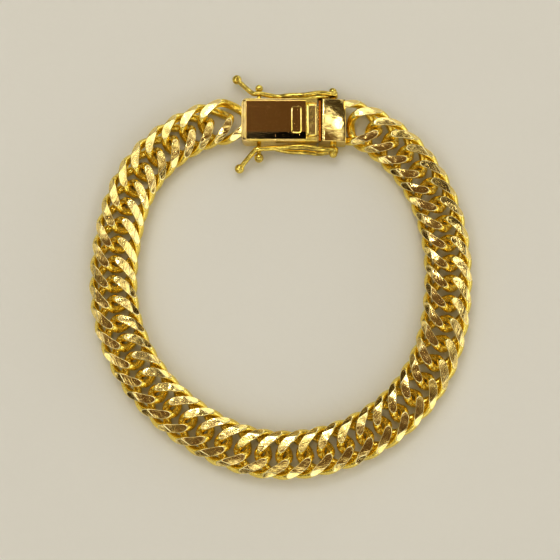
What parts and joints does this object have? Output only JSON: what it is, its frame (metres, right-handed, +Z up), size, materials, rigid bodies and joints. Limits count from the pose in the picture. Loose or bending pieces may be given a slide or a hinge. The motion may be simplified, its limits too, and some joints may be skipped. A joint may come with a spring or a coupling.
{
  "type": "cuban link bracelet",
  "caption": "Flat-lying double curb chain bracelet ground on six faces, closed by a box clasp with push tab and hinged safety latches.",
  "frame": {"origin": "middle of the closed bracelet's footprint, on the surface that it lies on", "axes": "+Z up off the surface, +X along the clasp from its box to its tongue, +Y from the middle of the ring out through the clasp"},
  "size_m": [0.0704, 0.0762, 0.004],
  "materials": {
    "link_gold": "polished, ground flats with fine wear",
    "clasp_gold": "mirror polished with hairline scratches",
    "latch_gold": "polished wire"
  },
  "bodies": {
    "bracelet": {"link_01": "link_gold", "link_02": "link_gold", "link_03": "link_gold", "link_04": "link_gold", "link_05": "link_gold", "link_06": "link_gold", "link_07": "link_gold", "link_08": "link_gold", "link_09": "link_gold", "link_10": "link_gold", "link_11": "link_gold", "link_12": "link_gold", "link_13": "link_gold", "link_14": "link_gold", "link_15": "link_gold", "link_16": "link_gold", "link_17": "link_gold", "link_18": "link_gold", "link_19": "link_gold", "link_20": "link_gold", "link_21": "link_gold", "link_22": "link_gold", "link_23": "link_gold", "link_24": "link_gold", "link_25": "link_gold", "link_26": "link_gold", "link_27": "link_gold", "link_28": "link_gold", "link_29": "link_gold", "link_30": "link_gold", "link_31": "link_gold", "link_32": "link_gold", "link_33": "link_gold", "link_34": "link_gold", "link_35": "link_gold", "link_36": "link_gold", "link_37": "link_gold", "link_38": "link_gold", "link_39": "link_gold", "link_40": "link_gold", "link_41": "link_gold", "link_42": "link_gold", "link_43": "link_gold", "link_44": "link_gold", "link_45": "link_gold", "link_46": "link_gold", "clasp_box": "clasp_gold", "tongue": "clasp_gold"},
    "outer_latch": {"latch_outer": "latch_gold"},
    "inner_latch": {"latch_inner": "latch_gold"}
  },
  "joints": [
    {"name": "outer_latch_hinge", "type": "hinge", "parent": "bracelet", "child": "outer_latch", "pos_m": [0.00985, 0.03398, 0.00198], "axis": [0, 1, 0], "range_deg": [0, 100]},
    {"name": "inner_latch_hinge", "type": "hinge", "parent": "bracelet", "child": "inner_latch", "pos_m": [0.00985, 0.02308, 0.00198], "axis": [0, 1, 0], "range_deg": [0, 100]}
  ]
}
